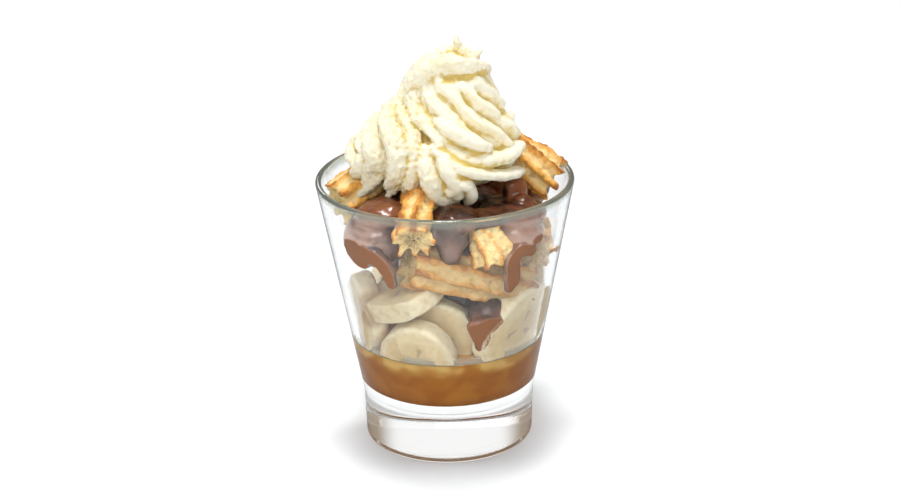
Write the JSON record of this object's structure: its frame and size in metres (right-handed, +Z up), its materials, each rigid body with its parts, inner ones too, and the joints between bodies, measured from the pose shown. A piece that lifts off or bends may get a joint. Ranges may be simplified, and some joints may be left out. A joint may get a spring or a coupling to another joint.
{
  "type": "banana and churro sundae in a glass tumbler",
  "caption": "Layered dessert in a thick-based stackable glass tumbler: caramel, banana slices, fluted churro pieces and chocolate sauce under a piped heap of whipped cream.",
  "frame": {"origin": "centre of the glass's foot, on the surface that it stands on", "axes": "+Z up along the glass's axis; -Y is the front that the picture shows; +X to the right"},
  "size_m": [0.09, 0.09, 0.146],
  "materials": {
    "glass": "clear, fire-polished",
    "caramel": "translucent brown caramel, glossy",
    "banana": "moist pale banana flesh, satin",
    "churro": "fried dough, golden with browned ridges, matte",
    "chocolate": "dark chocolate sauce, high gloss",
    "cream": "whipped cream, soft satin"
  },
  "bodies": {
    "root": {"glass": "glass", "caramel": "caramel", "banana_front_low": "banana", "banana_front_mid": "banana", "banana_front_high": "banana", "banana_right": "banana", "banana_left": "banana", "banana_back_left": "banana", "banana_back": "banana", "banana_back_right": "banana", "banana_back_high": "banana", "churro_rim_left": "churro", "churro_front": "churro", "churro_front_right": "churro", "churro_long": "churro", "churro_side_right": "churro", "churro_rim_right": "churro", "churro_back": "churro", "churro_rim_back": "churro", "chocolate_sauce": "chocolate", "whipped_cream": "cream"}
  },
  "joints": []
}
